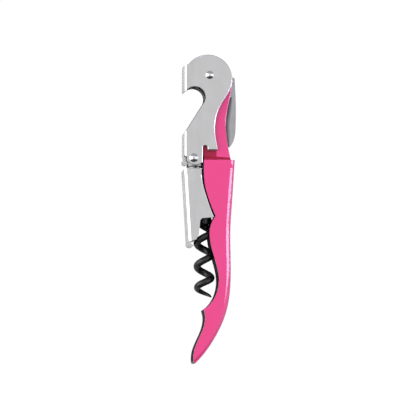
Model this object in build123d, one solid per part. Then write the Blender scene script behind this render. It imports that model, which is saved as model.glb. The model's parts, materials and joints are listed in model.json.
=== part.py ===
"""Double-hinged lever corkscrew, modelled closed and lying on its side.

While it is drawn, the origin is the centre of the main rivet, on the middle plane of the tool.
+Y points to the head end, +X to the back of the handle, and every pivot is parallel to Z.
At the end everything is moved so that the origin is the centre of the box's bottom face.
"""
import os
from math import cos, pi, radians, sin

from build123d import *

# Sheet metal, shared by the handle and both levers
SHEET = 1.2
OUTER_HALF = 6.0
INNER_HALF = OUTER_HALF - SHEET
NECK_HALF = 4.5
NECK_INNER_HALF = NECK_HALF - SHEET
HANDLE_FOLD_RADIUS = 1.8
HEAD_FOLD_RADIUS = 1.0
FOOT_FOLD_RADIUS = 1.7
CHROME_EDGE_ROUND = 0.3
TAB_EDGE_ROUND = 0.8
PAINT_EDGE_ROUND = 0.3
REACH = 40.0

# Pivots
MAIN_PIVOT = (0.0, 0.0)
STEP_PIVOT = (-6.17, -32.32)
WORM_PIVOT = (-0.5, -26.3)
RIVET_RADIUS = 1.2
PIN_RADIUS = 1.1
RUNNING_GAP = 0.05
FACE_GAP = 0.02

# Rivet heads
MAIN_DOME_RADIUS = 1.6
STEP_DOME_RADIUS = 1.75
DOME_HEIGHT = 0.85

# Handle
SHOULDER_TOP = -31.7
SHOULDER_BOTTOM = -34.1
SHOULDER_TILT = -3.7
SHOULDER_BEND = 0.9
HANDLE_FRONT_TOP = (-2.3, -33.0)
HANDLE_BACK_TOP = (9.89, -33.0)
HANDLE_PEAK = (2.25, -54.9)
HANDLE_HEEL = (-2.4, -91.1)
HANDLE_TIP_FRONT = (-6.15, -111.5)
HANDLE_TIP_BACK = (-5.4, -111.8)
WEB_INSET = (-SHEET, 0.5)

# Head lever
DISC_CENTRE = (-0.7, -1.55)
DISC_RADIUS = 9.5
LEVER_BACK = -9.9
BITE_CENTRE = (-5.78, -8.61)
BITE_RADIUS = 4.23
HOOK_TIP = -6.3
TAB_BOTTOM = -29.53
TAB_LEFT = -0.81
TAB_RIGHT = 3.22
EAR_RIGHT = -2.7
SLOT_TOP = -27.5
WEB_TOP = 3.7
WEB_BOTTOM = -31.2
STEP_LIP_CENTRE = (-9.25, -33.8)
STEP_LIP_RADIUS = 1.15
STEP_LIP_HALF_WIDTH = 3.0

# Foot lever
FOOT_TOP = -36.4
FOOT_BACK_TOP = -10.17
FOOT_BACK_BOTTOM = -8.5
FOOT_BOTTOM = -64.6
FOOT_LIP_RADIUS = 1.35
FOOT_LIP_DROP = 0.8
FOOT_LIP_CURL = 140.0
FOOT_LIP_HALF_WIDTH = 4.6
FOOT_EAR_RADIUS = 2.0
FOOT_JOGGLE_TOP = -35.3
FOOT_JOGGLE_BEND = 0.35

# Knife
BLADE_HALF = 0.65
TANG_RADIUS = 4.6
TANG_HEEL = (10.24, -0.7)
BLADE_TIP = (8.18, -27.7)
EDGE_HIGH = (6.35, -8.0)
EDGE_LOW = (5.4, -25.0)
EDGE_THICKNESS = 0.1
TOOTH_COUNT = 10
TOOTH_PITCH = 1.5
TOOTH_RADIUS = 0.8
BEVEL_WIDTH = 2.85

# Worm and its hub
WORM_AXIS = -1.67
WIRE_RADIUS = 1.36
POINT_RADIUS = 0.28
COIL_RADIUS = 2.75
ROOT_COIL_RADIUS = 1.3
WORM_PITCH = 8.95
LAST_PITCH = 7.7
FIRST_RIGHT_TURN = -60.5
ROOT_TURNS = 0.55
FULL_TURNS = 2.0
LAST_TURNS = 0.97
TAPER_TURNS = 0.6
POINTS_PER_TURN = 14
TAPER_SECTIONS = 6
TAPER_FULLNESS = 0.65
HUB_RADIUS = 2.85
HUB_BOTTOM = -57.8
HUB_EYE_RADIUS = 3.0
HUB_EYE_HALF = 2.5


def prism(face, half_height):
    """A flat outline thickened evenly about the middle plane."""
    return extrude(face, amount=half_height, both=True)


def post(centre, radius, z_low, z_high):
    """A round post parallel to Z, from one height to another."""
    middle = (z_low + z_high) / 2
    return Pos(centre[0], centre[1], middle) * Cylinder(radius, z_high - z_low)


def ring(centre, inner, outer, z_low, z_high):
    return post(centre, outer, z_low, z_high) - post(centre, inner, z_low - 1, z_high + 1)


def polar(centre, radius, angle):
    """The point of a circle at an angle in degrees."""
    return (centre[0] + radius * cos(radians(angle)), centre[1] + radius * sin(radians(angle)))


def joggled_strips(narrow_end, step_top, step_bottom, wide_end, bend):
    """Two mirrored strips of sheet, seen from the side, that step outwards between two heights."""
    outer = [(narrow_end, NECK_HALF), (step_top, NECK_HALF),
             (step_bottom, OUTER_HALF), (wide_end, OUTER_HALF)]
    inner = [(y, z - SHEET) for y, z in reversed(outer)]
    section = make_face(Polyline(*outer, *inner, close=True))
    corners = [v for v in section.vertices() if step_bottom - 0.01 <= v.X <= step_top + 0.01]
    strip = extrude(Plane.YZ * fillet(corners, bend), amount=REACH, both=True)
    return strip + mirror(strip, about=Plane.XY)


def outer_edges(solid, half_height):
    """The edges of a channel that lie in its two outer faces."""
    return [e for e in solid.edges() if abs(abs(e.center().Z) - half_height) < 1e-3
            and abs(e.bounding_box().size.Z) < 1e-3]


def rounded_rim(solid, radius, chosen):
    """Softens some of the outline edges of a folded part's two outer faces."""
    rims = [e for e in outer_edges(solid, OUTER_HALF) if chosen(e.center())]
    return fillet(rims, radius)


def rivet(centre, dome_radius):
    """A shank with a low dome at each end."""
    seat = OUTER_HALF + FACE_GAP
    body = post(centre, RIVET_RADIUS, -seat, seat)
    ball_radius = (dome_radius ** 2 + DOME_HEIGHT ** 2) / (2 * DOME_HEIGHT)
    ball = Pos(centre[0], centre[1], seat + DOME_HEIGHT - ball_radius) * Sphere(ball_radius)
    dome = ball & post(centre, dome_radius, seat, seat + 2 * DOME_HEIGHT)
    return body + dome + mirror(dome, about=Plane.XY)


def handle_back():
    """The back edge of the handle, from the tip up to the shoulder."""
    points = [HANDLE_TIP_BACK, (1.78, -102.5), (6.25, -92.9), (8.2, -81.0), (8.15, -66.0),
              HANDLE_BACK_TOP]
    return Spline(*points, tangents=[(0.72, 0.69), (0.06, 1.0)])


def handle_body():
    """The U channel from the shoulder to the tip, open at the front."""
    front_top = Spline(HANDLE_FRONT_TOP, (-1.94, -42.5), (0.04, -49.5), HANDLE_PEAK,
                       tangents=[(0.0, -1.0), (0.42, -0.9)])
    front_belly = Spline(HANDLE_PEAK, (0.0, -60.2), (1.38, -69.6), (3.5, -80.7), (0.97, -88.0),
                         HANDLE_HEEL)
    front_tail = Spline(HANDLE_HEEL, (-2.33, -97.8), (-5.12, -104.3), HANDLE_TIP_FRONT)
    back = handle_back()
    outline = make_face([front_top, front_belly, front_tail,
                         Line(HANDLE_TIP_FRONT, HANDLE_TIP_BACK), back,
                         Line(HANDLE_BACK_TOP, HANDLE_FRONT_TOP)])
    body = prism(outline, OUTER_HALF)
    folds = sorted(outer_edges(body, OUTER_HALF), key=lambda e: e.length)[-2:]
    body = fillet(folds, HANDLE_FOLD_RADIUS)
    inner_back = Pos(*WEB_INSET) * back
    low = inner_back.position_at(0)
    high = inner_back.position_at(1)
    hollow = make_face([inner_back, Polyline(
        (high.X, high.Y), (high.X, high.Y + 5), (-REACH, high.Y + 5),
        (-REACH, low.Y - 5), (low.X - 0.3, low.Y - 5), (low.X, low.Y))])
    return body - prism(hollow, INNER_HALF)


def handle_neck():
    """The two cheeks that run up from the shoulder to the main rivet."""
    back = Spline((9.2, -1.4), (8.03, -8.5), (6.4, -18.5), (7.22, -27.4), (9.0, -36.0))
    front = Spline((-2.2, -36.0), (-2.25, -31.0), (-3.1, -25.5), (-1.6, -17.0), (-0.6, -9.5),
                   (-4.6, -3.5))
    cap = ThreePointArc((-4.6, -3.5), (-3.2, 6.2), (6.0, 4.6))
    outline = make_face([back, Line((9.0, -36.0), (-2.2, -36.0)), front, cap,
                         Line((6.0, 4.6), (9.2, -1.4))])
    strips = joggled_strips(12.0, SHOULDER_TOP, SHOULDER_BOTTOM, -36.0, SHOULDER_BEND)
    middle = ((HANDLE_FRONT_TOP[0] + HANDLE_BACK_TOP[0]) / 2, (SHOULDER_TOP + SHOULDER_BOTTOM) / 2)
    strips = Pos(*middle) * Rot(0, 0, SHOULDER_TILT) * Pos(-middle[0], -middle[1]) * strips
    cheeks = prism(outline, OUTER_HALF + 1) & strips
    back_edges = [e for e in outer_edges(cheeks, NECK_HALF) if e.center().X > 6 and e.center().Y < -10]
    return fillet(back_edges, PAINT_EDGE_ROUND)


def handle_shell():
    shell = handle_body() + handle_neck()
    shell -= post(MAIN_PIVOT, RIVET_RADIUS, -OUTER_HALF, OUTER_HALF)
    return shell - post(WORM_PIVOT, PIN_RADIUS, -OUTER_HALF, OUTER_HALF)


def head_outline():
    """The head lever from the side, without its bite."""
    corner_top = polar(DISC_CENTRE, DISC_RADIUS, 143)
    shoulder = polar(DISC_CENTRE, DISC_RADIUS, -26)
    disc = ThreePointArc(corner_top, polar(DISC_CENTRE, DISC_RADIUS, 60), shoulder)
    waist = Spline(shoulder, (3.75, -12.8), (2.02, -21.1), (TAB_RIGHT, TAB_BOTTOM),
                   tangents=[disc % 1, (0.15, -1.0)])
    slot_middle = ((TAB_LEFT + EAR_RIGHT) / 2, SLOT_TOP)
    slot_radius = (TAB_LEFT - EAR_RIGHT) / 2
    slot = ThreePointArc((TAB_LEFT, SLOT_TOP - slot_radius), slot_middle,
                         (EAR_RIGHT, SLOT_TOP - slot_radius))
    ear_bottom = ThreePointArc((EAR_RIGHT, -34.1), (STEP_PIVOT[0], -35.0), (-8.4, -33.9))
    return make_face([
        disc, waist,
        Line((TAB_RIGHT, TAB_BOTTOM), (TAB_LEFT, TAB_BOTTOM)),
        Line((TAB_LEFT, TAB_BOTTOM), (TAB_LEFT, SLOT_TOP - slot_radius)),
        slot,
        Line((EAR_RIGHT, SLOT_TOP - slot_radius), (EAR_RIGHT, -34.1)),
        ear_bottom,
        Polyline((-8.4, -33.9), (-8.9, -32.9), (-8.9, WEB_BOTTOM - 0.6),
                 (LEVER_BACK, WEB_BOTTOM), (LEVER_BACK, WEB_TOP)),
        Line((LEVER_BACK, WEB_TOP), corner_top),
    ])


def bite_cutter():
    """The crown-cap bite and the long slope below it, as one notch."""
    hook = (LEVER_BACK - 2, HOOK_TIP)
    entry = (-9.3, HOOK_TIP)
    exit_angle = -25
    leave = polar(BITE_CENTRE, BITE_RADIUS, exit_angle)
    arc = ThreePointArc(entry, (BITE_CENTRE[0] + 0.6, BITE_CENTRE[1] + BITE_RADIUS - 0.03), leave)
    slope = Polyline(leave, (-8.9, -21.5), (LEVER_BACK - 1, -23.9), (LEVER_BACK - 2, -23.9), hook, entry)
    return make_face([arc, slope])


def head_lever():
    lever = prism(head_outline(), OUTER_HALF) - prism(bite_cutter(), OUTER_HALF + 1)
    lever = rounded_rim(lever, CHROME_EDGE_ROUND, lambda c: c.X > TAB_LEFT and c.Y > TAB_BOTTOM + 1)
    lever = rounded_rim(lever, TAB_EDGE_ROUND, lambda c: c.X > TAB_LEFT and c.Y < TAB_BOTTOM + 0.1)
    lever = rounded_rim(lever, CHROME_EDGE_ROUND,
                        lambda c: STEP_PIVOT[0] < c.X < TAB_LEFT + 0.1 and c.Y < SLOT_TOP + 0.1)
    lever = rounded_rim(lever, HEAD_FOLD_RADIUS, lambda c: abs(c.X - LEVER_BACK) < 1e-3)
    lever -= Pos(LEVER_BACK + SHEET + REACH / 2, -15) * Box(REACH, 60, 2 * INNER_HALF)
    lever -= Pos(LEVER_BACK, WEB_BOTTOM - REACH / 2) * Box(REACH, REACH, 2 * INNER_HALF)
    lip_strip = Box(SHEET, WEB_BOTTOM - STEP_LIP_CENTRE[1] + 1.0, 2 * STEP_LIP_HALF_WIDTH)
    lip_strip = Pos(LEVER_BACK + SHEET / 2, (WEB_BOTTOM + STEP_LIP_CENTRE[1]) / 2) * lip_strip
    lip = post(STEP_LIP_CENTRE, STEP_LIP_RADIUS, -STEP_LIP_HALF_WIDTH, STEP_LIP_HALF_WIDTH)
    lever = lever + lip_strip + lip
    lever -= post(MAIN_PIVOT, RIVET_RADIUS + RUNNING_GAP, -OUTER_HALF, OUTER_HALF)
    return lever - post(STEP_PIVOT, RIVET_RADIUS, -OUTER_HALF, OUTER_HALF)


def foot_outline():
    """The foot lever's cheeks from the side."""
    right_top = (-3.14, FOOT_TOP)
    peak = (1.75, -55.3)
    right = Spline(right_top, (-2.91, -41.0), (-1.16, -47.5), peak,
                   tangents=[(0.02, -1.0), (0.42, -0.9)])
    step = Polyline(peak, (-2.9, -55.7), (-3.7, -56.5), (-4.3, -62.2), (-5.3, -64.0),
                    (-7.2, FOOT_BOTTOM), (FOOT_BACK_BOTTOM, FOOT_BOTTOM),
                    (FOOT_BACK_TOP, FOOT_TOP - 0.6), (FOOT_BACK_TOP + 0.7, FOOT_TOP))
    top = ThreePointArc((FOOT_BACK_TOP + 0.7, FOOT_TOP), (-6.2, FOOT_TOP - 0.12), right_top)
    return make_face([right, step, top])


def foot_lip():
    """The second step: the web carried past the cheeks and curled inwards."""
    x = FOOT_BACK_BOTTOM + FOOT_LIP_RADIUS
    y = FOOT_BOTTOM - FOOT_LIP_DROP
    curl = post((x, y), FOOT_LIP_RADIUS, -FOOT_LIP_HALF_WIDTH, FOOT_LIP_HALF_WIDTH)
    curl -= post((x, y), FOOT_LIP_RADIUS - SHEET, -OUTER_HALF, OUTER_HALF)
    open_side = make_face(Polyline((x, y), polar((x, y), REACH, 180), polar((x, y), REACH, 90),
                                   polar((x, y), REACH, FOOT_LIP_CURL - 180), close=True))
    curl -= prism(open_side, OUTER_HALF)
    strip = Box(SHEET, FOOT_LIP_DROP + SHEET, 2 * FOOT_LIP_HALF_WIDTH)
    return curl + Pos(FOOT_BACK_BOTTOM + SHEET / 2, y + (FOOT_LIP_DROP + SHEET) / 2) * strip


def foot_ears():
    """The joggled ears that carry the foot lever inside the head lever."""
    x, y = STEP_PIVOT
    low = FOOT_TOP - 2.5
    round_end = ThreePointArc(polar(STEP_PIVOT, FOOT_EAR_RADIUS, 180),
                              polar(STEP_PIVOT, FOOT_EAR_RADIUS, 90),
                              polar(STEP_PIVOT, FOOT_EAR_RADIUS, 0))
    sides = Polyline((x + FOOT_EAR_RADIUS, y), (-3.4, -34.9), (-3.2, low), (-8.9, low),
                     (-8.9, FOOT_TOP), (x - FOOT_EAR_RADIUS, FOOT_JOGGLE_TOP),
                     (x - FOOT_EAR_RADIUS, y))
    outline = make_face([round_end, sides])
    strips = joggled_strips(y + 5, FOOT_JOGGLE_TOP, FOOT_TOP, low, FOOT_JOGGLE_BEND)
    return prism(outline, OUTER_HALF + 1) & strips


def foot_lever():
    lever = prism(foot_outline(), OUTER_HALF)
    lever = rounded_rim(lever, FOOT_FOLD_RADIUS, lambda c: c.X < FOOT_BACK_BOTTOM and c.Y < -45)
    lever = rounded_rim(lever, CHROME_EDGE_ROUND, lambda c: c.X > -3.5 and c.Y > -54)
    slant = Line((FOOT_BACK_BOTTOM + SHEET, FOOT_BOTTOM - 1), (FOOT_BACK_TOP + SHEET, FOOT_TOP + 1))
    hollow = make_face([slant, Polyline(slant @ 1, (REACH, FOOT_TOP + 1),
                                        (REACH, FOOT_BOTTOM - 1), slant @ 0)])
    lever = lever - prism(hollow, INNER_HALF) + foot_lip() + foot_ears()
    return lever - post(STEP_PIVOT, RIVET_RADIUS + RUNNING_GAP, -OUTER_HALF, OUTER_HALF)


def knife_bevel(along):
    """The wedge that is ground off one side of the blade, along its cutting edge."""
    slope = Polyline((1.0, EDGE_THICKNESS / 2), (1.0, BLADE_HALF + 1.0),
                     (-BEVEL_WIDTH, BLADE_HALF + 1.0), (-BEVEL_WIDTH, BLADE_HALF),
                     (0.0, EDGE_THICKNESS / 2), close=True)
    across = Vector(0, 0, 1).cross(along)
    return extrude(Plane(EDGE_HIGH, x_dir=across * -1, z_dir=along) * make_face(slope), amount=REACH)


def knife_blade():
    """A foil knife with a straight serrated edge, its tang round the main rivet."""
    top = polar(MAIN_PIVOT, TANG_RADIUS, 62)
    low = polar(MAIN_PIVOT, TANG_RADIUS, -75)
    spine = Spline(TANG_HEEL, (10.6, -8.0), (10.6, -19.5), (9.85, -24.9), BLADE_TIP)
    edge = Polyline(BLADE_TIP, EDGE_LOW, EDGE_HIGH, low)
    outline = make_face([spine, edge, ThreePointArc(low, (-TANG_RADIUS, 0), top), Line(top, TANG_HEEL)])
    blade = prism(outline, BLADE_HALF)
    along = (Vector(EDGE_LOW) - Vector(EDGE_HIGH)).normalized()
    outwards = Vector(0, 0, 1).cross(along) * -1
    for index in range(TOOTH_COUNT):
        centre = Vector(EDGE_HIGH) + along * TOOTH_PITCH * (index + 1) + outwards * TOOTH_RADIUS / 2
        blade -= post(tuple(centre), TOOTH_RADIUS, -1, 1)
    bevel = knife_bevel(along)
    blade -= bevel
    blade -= mirror(bevel, about=Plane.XY)
    return blade - post(MAIN_PIVOT, RIVET_RADIUS + RUNNING_GAP, -1, 1)


def worm_centre(turn):
    """The middle of the wire, with whole turns counted from the first right-hand extreme."""
    spread = min(max((turn + ROOT_TURNS) / ROOT_TURNS, 0.0), 1.0)
    radius = ROOT_COIL_RADIUS + (COIL_RADIUS - ROOT_COIL_RADIUS) * sin(pi / 2 * spread)
    last = max(turn - FULL_TURNS, 0.0)
    y = FIRST_RIGHT_TURN - WORM_PITCH * (turn - last) - LAST_PITCH * last
    return Vector(WORM_AXIS + radius * cos(2 * pi * turn), y, radius * sin(2 * pi * turn))


def wire_section(centre, ahead, radius):
    """A round section of the wire, square to its path."""
    plane = Plane(origin=centre, x_dir=Vector(0, 1, 0) - ahead * ahead.Y, z_dir=ahead)
    return (plane * Circle(radius)).face()


def worm():
    """The wire: a coil of even thickness, then a point that narrows over its last part of a turn."""
    taper_start = FULL_TURNS + LAST_TURNS - TAPER_TURNS
    length = taper_start + ROOT_TURNS
    count = round(length * POINTS_PER_TURN)
    path = Spline(*[worm_centre(length * index / count - ROOT_TURNS) for index in range(count + 1)])
    coil = sweep(wire_section(path @ 0, path % 0, WIRE_RADIUS), path=path)
    rings = [wire_section(path @ 1, path % 1, WIRE_RADIUS)]
    for index in range(1, TAPER_SECTIONS + 1):
        share = index / TAPER_SECTIONS
        turn = taper_start + TAPER_TURNS * share
        ahead = (worm_centre(turn + 0.002) - worm_centre(turn - 0.002)).normalized()
        radius = POINT_RADIUS + (WIRE_RADIUS - POINT_RADIUS) * (1 - share) ** TAPER_FULLNESS
        rings.append(wire_section(worm_centre(turn), ahead, radius))
    return coil + loft(rings)


def worm_hub():
    """The shank: a round bar that ends in an eye on the worm pin."""
    x, y = WORM_PIVOT
    shank_top = y - 4.0
    shank = Rot(90, 0, 0) * Cylinder(HUB_RADIUS, shank_top - HUB_BOTTOM)
    shank = Pos(WORM_AXIS, (HUB_BOTTOM + shank_top) / 2) * shank
    shank = fillet(shank.edges().filter_by(GeomType.CIRCLE), 0.4)
    eye = post(WORM_PIVOT, HUB_EYE_RADIUS, -HUB_EYE_HALF, HUB_EYE_HALF)
    waist = make_face(Polyline((x + HUB_EYE_RADIUS, y), (WORM_AXIS + 2.3, shank_top - 2),
                               (WORM_AXIS - 2.3, shank_top - 2), (x - HUB_EYE_RADIUS, y), close=True))
    hub = shank + eye + prism(waist, 2.0)
    return hub - post(WORM_PIVOT, PIN_RADIUS + RUNNING_GAP, -OUTER_HALF, OUTER_HALF)


def paired_rings(name, centre, inner, outer, near, far):
    """A washer on the upper side and its twin below the middle plane."""
    upper = ring(centre, inner, outer, near + FACE_GAP, far - FACE_GAP)
    return {name + "_front": upper, name + "_back": mirror(upper, about=Plane.XY)}


def build_nodes():
    running = RIVET_RADIUS + RUNNING_GAP
    nodes = {
        "handle_shell": handle_shell(),
        "head_lever": head_lever(),
        "foot_lever": foot_lever(),
        "main_rivet": rivet(MAIN_PIVOT, MAIN_DOME_RADIUS),
        "step_rivet": rivet(STEP_PIVOT, STEP_DOME_RADIUS),
        "knife_blade": knife_blade(),
        "worm": worm(),
        "worm_hub": worm_hub(),
        "worm_pin": post(WORM_PIVOT, PIN_RADIUS, -NECK_HALF, NECK_HALF),
        "step_spacer": ring(STEP_PIVOT, running, 1.65, 0.1 - NECK_INNER_HALF, NECK_INNER_HALF - 0.1),
    }
    nodes.update(paired_rings("knife_bushing", MAIN_PIVOT, running, 2.6, BLADE_HALF, NECK_INNER_HALF))
    nodes.update(paired_rings("lever_washer", MAIN_PIVOT, running, 3.4, NECK_HALF, INNER_HALF))
    nodes.update(paired_rings("step_washer", STEP_PIVOT, running, 1.9, NECK_HALF, INNER_HALF))
    nodes.update(paired_rings("worm_washer", WORM_PIVOT, PIN_RADIUS + RUNNING_GAP, 2.6,
                              HUB_EYE_HALF, NECK_INNER_HALF))
    return nodes


def export_nodes(nodes):
    """Moves the model onto its base and writes each piece."""
    boxes = [shape.bounding_box() for shape in nodes.values()]
    low = [min(tuple(box.min)[axis] for box in boxes) for axis in range(3)]
    high = [max(tuple(box.max)[axis] for box in boxes) for axis in range(3)]
    base = Pos(-(low[0] + high[0]) / 2, -(low[1] + high[1]) / 2, -low[2])
    os.makedirs("parts", exist_ok=True)
    for name, shape in nodes.items():
        export_step(base * shape, f"parts/{name}.step")
    x, y, z = base.position
    print(f"main pivot {x:.3f} {y:.3f}  middle plane {z:.3f}")


if __name__ == "__main__":
    export_nodes(build_nodes())
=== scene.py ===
"""Looks, light and camera for the lever corkscrew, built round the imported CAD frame."""
import json
import math

import bpy
from mathutils import Matrix, Vector


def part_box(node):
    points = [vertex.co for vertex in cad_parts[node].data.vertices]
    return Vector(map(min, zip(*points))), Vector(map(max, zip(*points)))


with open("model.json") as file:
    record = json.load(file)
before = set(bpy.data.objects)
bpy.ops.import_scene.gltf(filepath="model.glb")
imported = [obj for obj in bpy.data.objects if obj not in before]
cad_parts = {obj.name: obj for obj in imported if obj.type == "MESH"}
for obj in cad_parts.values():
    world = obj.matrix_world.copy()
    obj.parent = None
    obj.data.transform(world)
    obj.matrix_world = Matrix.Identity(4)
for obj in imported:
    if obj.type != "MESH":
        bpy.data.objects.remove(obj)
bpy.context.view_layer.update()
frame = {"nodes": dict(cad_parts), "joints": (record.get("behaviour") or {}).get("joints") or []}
NODES = frame["nodes"]
MM = 0.001
SHEET_AND_PLAY = 1.35 * MM
PIVOT_TO_SHOULDER = 33.0 * MM

# Painted shade on the neck below the head lever's tab, as corners measured from the main pivot
PAINTED_SHADE_LOW = (-4.0 * MM, -33.0 * MM)
PAINTED_SHADE_HIGH = (2.75 * MM, -26.0 * MM)
PAINTED_SHADE_EDGE = 0.25 * MM
PAINTED_SHADE_TINT = (0.44, 0.40, 0.20)
PAINTED_SHADE_COAT = 0.12

# The camera looks down on the flat side of the tool, leaning a little to its left and foot.
FRAME_WIDTH = 160.9 * MM
CAMERA_DISTANCE = 1.5
CAMERA_LEAN = Vector((-1.16, -0.97, 12.0))
PIVOT_TO_VIEW_CENTRE = Vector((-0.72 * MM, -51.8 * MM, 0.0))
SENSOR_WIDTH = 36.0

# Light levels, as brightness seen by a mirror; the flats of the chrome mirror the overhead level.
OVERHEAD_LEVEL = 0.67
LEFT_EXTRA = 2.1
RIGHT_EXTRA = 0.30
SIDE_SPAN = (0.30, 0.55)
SIDE_FADE = (0.35, 0.65)
HEAD_END_SPAN = (0.15, 0.50)
HEAD_END_LEVEL = 0.40
FOOT_END_SPAN = (-0.15, -0.60)
FOOT_END_SHARE = 0.10

# Strip lights: direction from the tool, width level with the table, length up the slope
STRIP_DIRECTION = (0.72, 0.068, 0.69)
STRIP_SIZE = (0.11, 1.05)
STRIP_LEVEL = 7.5
STRIP_COLOUR = (0.62, 0.72, 1.0)
HEAD_STRIP_DIRECTION = (0.06, 0.50, 0.87)
HEAD_STRIP_SIZE = (0.34, 0.10)
HEAD_STRIP_LEVEL = 5.0
HEAD_STRIP_COLOUR = (0.50, 0.45, 1.0)
FLOOR_GREY = (0.80, 0.80, 0.80)
FLOOR_WHITE = (1.02, 1.02, 1.02)


# ---------------------------------------------------------------- node helpers

class Shader:
    """A material with one Principled surface, and short ways to add its nodes."""

    def __init__(self, name, **inputs):
        self.material = bpy.data.materials.new(name)
        self.material.use_nodes = True
        self.nodes = self.material.node_tree.nodes
        self.surface = self.nodes["Principled BSDF"]
        for label, value in inputs.items():
            self.surface.inputs[label.replace("_", " ")].default_value = value
        coordinates = self.add("ShaderNodeTexCoord")
        self.place = coordinates.outputs["Object"]
        self.lean = coordinates.outputs["Normal"]

    def add(self, kind, **settings):
        node = self.nodes.new(kind)
        for key, value in settings.items():
            setattr(node, key, value)
        return node

    def link(self, start, end):
        self.material.node_tree.links.new(start, end)

    def stretched(self, scale):
        """Object coordinates scaled unevenly, for marks that run one way."""
        mapping = self.add("ShaderNodeMapping")
        mapping.inputs["Scale"].default_value = scale
        self.link(self.place, mapping.inputs["Vector"])
        return mapping.outputs["Vector"]

    def noise(self, scale, detail=3.0, roughness=0.5, where=None):
        node = self.add("ShaderNodeTexNoise")
        node.inputs["Scale"].default_value = scale
        node.inputs["Detail"].default_value = detail
        node.inputs["Roughness"].default_value = roughness
        self.link(where or self.place, node.inputs["Vector"])
        return node.outputs["Fac"]

    def span(self, value, low, high, start=0.3, end=0.7):
        """Maps a texture's middle range onto a range of numbers."""
        node = self.add("ShaderNodeMapRange")
        for label, number in (("From Min", start), ("From Max", end), ("To Min", low), ("To Max", high)):
            node.inputs[label].default_value = number
        self.link(value, node.inputs["Value"])
        return node.outputs["Result"]

    def blend_colours(self, share, first, second):
        node = self.add("ShaderNodeMix", data_type="RGBA")
        node.inputs["A"].default_value = (*first, 1.0)
        node.inputs["B"].default_value = (*second, 1.0)
        self.link(share, node.inputs["Factor"])
        return node.outputs["Result"]

    def tinted(self, colour, tint, share):
        """A colour multiplied by a tint where the share is one."""
        node = self.add("ShaderNodeMix", data_type="RGBA", blend_type="MULTIPLY")
        node.inputs["B"].default_value = (*tint, 1.0)
        self.link(colour, node.inputs["A"])
        self.link(share, node.inputs["Factor"])
        return node.outputs["Result"]

    def patch(self, low, high, edge):
        """One inside an upright rectangle on the X Y plane, easing to nothing past its border."""
        split = self.add("ShaderNodeSeparateXYZ")
        self.link(self.place, split.inputs["Vector"])
        share = None
        for axis, start, end in zip("XY", low, high):
            source = split.outputs[axis]
            for border, step in ((start, edge), (end, -edge)):
                side = self.span(source, 0.0, 1.0, border - step, border + step)
                share = side if share is None else self.product(share, side)
        return share

    def facing_head(self, low, high):
        """One on faces that lean towards the head end."""
        split = self.add("ShaderNodeSeparateXYZ")
        self.link(self.lean, split.inputs["Vector"])
        return self.span(split.outputs["Y"], 0.0, 1.0, low, high)

    def larger(self, first, second):
        node = self.add("ShaderNodeMath", operation="MAXIMUM")
        self.link(first, node.inputs[0])
        self.link(second, node.inputs[1])
        return node.outputs["Value"]

    def product(self, first, second):
        node = self.add("ShaderNodeMath", operation="MULTIPLY")
        self.link(first, node.inputs[0])
        self.link(second, node.inputs[1])
        return node.outputs["Value"]

    def average(self, first, second, share):
        node = self.add("ShaderNodeMix", data_type="FLOAT")
        node.inputs["Factor"].default_value = share
        self.link(first, node.inputs["A"])
        self.link(second, node.inputs["B"])
        return node.outputs["Result"]

    def bump(self, height, distance, strength=1.0):
        node = self.add("ShaderNodeBump")
        node.inputs["Distance"].default_value = distance
        node.inputs["Strength"].default_value = strength
        self.link(height, node.inputs["Height"])
        self.link(node.outputs["Normal"], self.surface.inputs["Normal"])

    def set(self, label, value):
        self.link(value, self.surface.inputs[label])


# ---------------------------------------------------------------- materials

def worked_metal(name, light, dark, roughness, grain, depth):
    """Metal with fine marks along Y, soft cloudy wear and a few broad streaks."""
    shader = Shader(name, Metallic=1.0)
    fine = shader.noise(1.0, 2.0, where=shader.stretched((grain, grain / 14, grain)))
    streaks = shader.noise(1.0, 3.0, where=shader.stretched((420.0, 26.0, 420.0)))
    clouds = shader.noise(170.0, 4.0, 0.55)
    tone = shader.average(streaks, clouds, 0.4)
    shader.set("Base Color", shader.blend_colours(shader.span(tone, 0.0, 1.0), dark, light))
    shader.set("Roughness", shader.span(shader.average(fine, clouds, 0.5), *roughness))
    shader.bump(fine, depth)
    return shader.material


def chrome():
    return worked_metal("satin_chrome", (0.83, 0.826, 0.822), (0.75, 0.747, 0.743),
                        roughness=(0.15, 0.24), grain=9000.0, depth=0.6e-6)


def rivet_metal():
    return worked_metal("rivet_chrome", (0.84, 0.832, 0.822), (0.72, 0.713, 0.704),
                        roughness=(0.10, 0.20), grain=5000.0, depth=0.4e-6)


def blade_metal():
    return worked_metal("ground_steel", (0.54, 0.533, 0.515), (0.43, 0.425, 0.41),
                        roughness=(0.26, 0.40), grain=12000.0, depth=1.2e-6)


def shaded_inside_metal():
    # Bare steel inside the handle, its colour darkened well below the cut edges' steel as painted shade
    # in the channel
    return worked_metal("shaded_inside_steel", (0.16, 0.155, 0.155), (0.08, 0.078, 0.078),
                        roughness=(0.34, 0.55), grain=6000.0, depth=1.5e-6)


def cut_metal():
    return worked_metal("cut_steel", (0.55, 0.54, 0.545), (0.36, 0.355, 0.36),
                        roughness=(0.30, 0.50), grain=6000.0, depth=1.5e-6)


def machined_metal():
    return worked_metal("machined_steel", (0.58, 0.58, 0.60), (0.42, 0.42, 0.44),
                        roughness=(0.22, 0.38), grain=8000.0, depth=1.0e-6)


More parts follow.
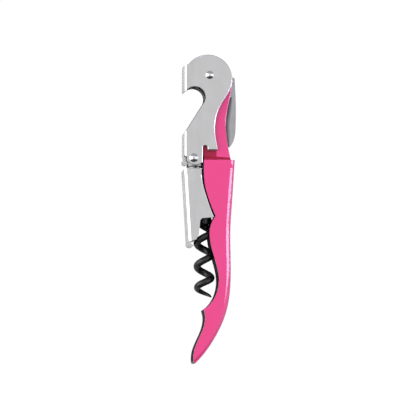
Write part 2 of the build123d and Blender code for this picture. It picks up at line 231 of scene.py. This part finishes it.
def pink_paint():
    """Gloss stove enamel: faint orange peel, slow colour drift and a clear top layer.

    The neck carries painted shade under the head lever's tab, a darker tint and a thinner clear coat, and
    so does the face of the shoulder.
    """
    shader = Shader("pink_enamel", Coat_Weight=1.0, Coat_Roughness=0.07, Coat_IOR=1.75,
                    Specular_IOR_Level=0.2)
    drift = shader.noise(60.0, 3.0)
    flecks = shader.noise(2600.0, 2.0)
    tone = shader.average(drift, flecks, 0.35)
    enamel = shader.blend_colours(shader.span(tone, 0.0, 1.0), (0.92, 0.021, 0.226), (0.98, 0.034, 0.258))
    # Painted shade: darker tint and thinner clear coat below the tab's foot
    painted_shade_below_tab = shader.patch(*painted_shade_neck(), PAINTED_SHADE_EDGE)
    # Painted shade also on the shoulder's face, which leans towards the head end
    painted_shade = shader.larger(painted_shade_below_tab, shader.facing_head(0.15, 0.45))
    shader.set("Base Color", shader.tinted(enamel, PAINTED_SHADE_TINT, painted_shade))
    shader.set("Coat Weight", shader.span(painted_shade, 1.0, PAINTED_SHADE_COAT, 0.0, 1.0))
    shader.set("Roughness", shader.span(flecks, 0.30, 0.42))
    peel = shader.noise(900.0, 2.0)
    shader.bump(peel, 4e-6)
    return shader.material


def black_coating():
    """Baked non-stick coating: satin, very slightly grainy, rubbed a little lighter in places."""
    shader = Shader("black_coating", Specular_IOR_Level=0.55)
    rubbed = shader.noise(320.0, 4.0, 0.6)
    grain = shader.noise(5200.0, 2.0)
    worn = shader.span(rubbed, 0.0, 1.0, 0.45, 0.75)
    shader.set("Base Color", shader.blend_colours(worn, (0.004, 0.004, 0.0045), (0.016, 0.016, 0.017)))
    shader.set("Roughness", shader.span(grain, 0.30, 0.48))
    shader.bump(grain, 5e-6)
    return shader.material


def painted_shade_neck():
    """The corners of the painted shade on the neck, between the tab's foot and the shoulder."""
    pivot = joint_place("lever_swing")
    return [(pivot.x + x, pivot.y + y) for x, y in (PAINTED_SHADE_LOW, PAINTED_SHADE_HIGH)]


def paint_sides(node, paint, inside, cut):
    """Paint on the handle's outward faces, bare steel with painted shade inside it, brighter bare steel
    on its cut edges.
    """
    mesh = NODES[node].data
    low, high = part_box(node)
    middle = (low.z + high.z) / 2
    inner_height = high.z - middle - SHEET_AND_PLAY
    shoulder = joint_place("lever_swing").y - PIVOT_TO_SHOULDER
    mesh.materials.clear()
    for finish in (paint, inside, cut):
        mesh.materials.append(finish)
    for face in mesh.polygons:
        outward = face.normal.z * math.copysign(1.0, face.center.z - middle)
        on_fold = face.normal.x > 0.35 and outward > -0.05 and face.center.y < shoulder
        on_round = outward > 0.02 and face.normal.x > 0.2
        in_sheet = abs(face.center.z - middle) > inner_height and abs(outward) < 0.2
        if outward > 0.3 or on_fold or on_round:
            face.material_index = 0
        elif in_sheet:
            face.material_index = 2
        else:
            face.material_index = 1


def joint_place(name):
    found = next(joint for joint in frame["joints"] if joint["name"] == name)
    return Vector(found["pos_m"])


def dress_nodes():
    """Gives every CAD node its finish."""
    plated = chrome()
    rivets = rivet_metal()
    coating = black_coating()
    machined = machined_metal()
    finishes = {
        "head_lever": plated, "foot_lever": plated, "main_rivet": rivets, "step_rivet": rivets,
        "knife_blade": blade_metal(), "worm": coating, "worm_hub": coating,
    }
    for name, node in NODES.items():
        node.data.materials.clear()
        node.data.materials.append(finishes.get(name, machined))
    paint_sides("handle_shell", pink_paint(), shaded_inside_metal(), cut_metal())


# ---------------------------------------------------------------- stage

def make_floor():
    """A pale table top: even white to the eye, mid grey where the metal reflects it."""
    bpy.ops.mesh.primitive_plane_add(size=4.0, location=(0, 0, 0))
    floor = bpy.context.object
    floor.name = "floor"
    shader = Shader("pale_floor", Base_Color=(*FLOOR_GREY, 1.0), Roughness=0.9, Specular_IOR_Level=0.1)
    glow = shader.add("ShaderNodeEmission")
    glow.inputs["Color"].default_value = (*FLOOR_WHITE, 1.0)
    choice = shader.add("ShaderNodeMixShader")
    rays = shader.add("ShaderNodeLightPath")
    shader.link(rays.outputs["Is Camera Ray"], choice.inputs["Fac"])
    shader.link(shader.surface.outputs["BSDF"], choice.inputs[1])
    shader.link(glow.outputs["Emission"], choice.inputs[2])
    shader.link(choice.outputs["Shader"], shader.nodes["Material Output"].inputs["Surface"])
    floor.data.materials.append(shader.material)


def strip_light(name, direction, size, radiance, colour):
    """A rectangular light one metre from the tool, of a given brightness per unit of its face."""
    width, length = size
    data = bpy.data.lights.new(name, "AREA")
    data.shape = "RECTANGLE"
    data.size = width
    data.size_y = length
    data.energy = radiance * math.pi * width * length
    data.color = colour
    light = bpy.data.objects.new(name, data)
    light.location = Vector(direction).normalized()
    light.rotation_euler = (-light.location).to_track_quat("-Z", "Y").to_euler()
    bpy.context.scene.collection.objects.link(light)


class Studio:
    """The world's brightness, built up from the direction it is seen in."""

    def __init__(self):
        self.world = bpy.data.worlds.new("studio")
        self.world.use_nodes = True
        self.tree = self.world.node_tree
        coordinates = self.tree.nodes.new("ShaderNodeTexCoord")
        split = self.tree.nodes.new("ShaderNodeSeparateXYZ")
        self.tree.links.new(coordinates.outputs["Generated"], split.inputs["Vector"])
        self.x, self.y, self.z = split.outputs
        self.level = None

    def ramp(self, source, start, end, low, high):
        """A level that eases from low to high while a direction component goes from start to end."""
        node = self.tree.nodes.new("ShaderNodeMapRange")
        node.interpolation_type = "SMOOTHSTEP"
        for label, number in (("From Min", start), ("From Max", end), ("To Min", low), ("To Max", high)):
            node.inputs[label].default_value = number
        self.tree.links.new(source, node.inputs["Value"])
        return node.outputs["Result"]

    def size_of(self, source):
        """A direction component without its sign."""
        node = self.tree.nodes.new("ShaderNodeMath")
        node.operation = "ABSOLUTE"
        self.tree.links.new(source, node.inputs[0])
        return node.outputs["Value"]

    def combine(self, operation, extra):
        """Adds or multiplies another level into the brightness so far."""
        node = self.tree.nodes.new("ShaderNodeMath")
        node.operation = operation
        self.tree.links.new(self.level, node.inputs[0])
        self.tree.links.new(extra, node.inputs[1])
        self.level = node.outputs["Value"]

    def finish(self):
        background = self.tree.nodes["Background"]
        background.inputs["Color"].default_value = (1.0, 1.0, 1.0, 1.0)
        self.tree.links.new(self.level, background.inputs["Strength"])
        bpy.context.scene.world = self.world


def make_lights():
    """Bright sides, an even soft top, darker ends and two strips, at the handle's side and the head."""
    studio = Studio()
    across = studio.size_of(studio.x)
    along = studio.size_of(studio.y)
    studio.level = studio.ramp(studio.x, -0.1, 0.1, LEFT_EXTRA, RIGHT_EXTRA)
    studio.combine("MULTIPLY", studio.ramp(across, *SIDE_SPAN, 0.0, 1.0))
    studio.combine("MULTIPLY", studio.ramp(along, *SIDE_FADE, 1.0, 0.0))
    studio.combine("ADD", studio.ramp(studio.y, *HEAD_END_SPAN, OVERHEAD_LEVEL, HEAD_END_LEVEL))
    studio.combine("MULTIPLY", studio.ramp(studio.y, *FOOT_END_SPAN, 1.0, FOOT_END_SHARE))
    studio.finish()
    strip_light("right_strip", STRIP_DIRECTION, STRIP_SIZE, STRIP_LEVEL, STRIP_COLOUR)
    strip_light("head_strip", HEAD_STRIP_DIRECTION, HEAD_STRIP_SIZE, HEAD_STRIP_LEVEL, HEAD_STRIP_COLOUR)
    bpy.context.scene.view_settings.view_transform = "Standard"


def make_camera():
    data = bpy.data.cameras.new("camera")
    data.sensor_width = SENSOR_WIDTH
    data.lens = SENSOR_WIDTH * CAMERA_DISTANCE / FRAME_WIDTH
    data.clip_start = 0.01
    camera = bpy.data.objects.new("camera", data)
    target = joint_place("lever_swing") + PIVOT_TO_VIEW_CENTRE
    target.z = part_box("handle_shell")[1].z
    back = CAMERA_LEAN.normalized()
    right = Vector((0, 1, 0)).cross(back).normalized()
    up = back.cross(right)
    turn = Matrix((right, up, back)).transposed().to_4x4()
    camera.matrix_world = Matrix.Translation(target + back * CAMERA_DISTANCE) @ turn
    bpy.context.scene.collection.objects.link(camera)
    bpy.context.scene.camera = camera


dress_nodes()
make_floor()
make_lights()
make_camera()
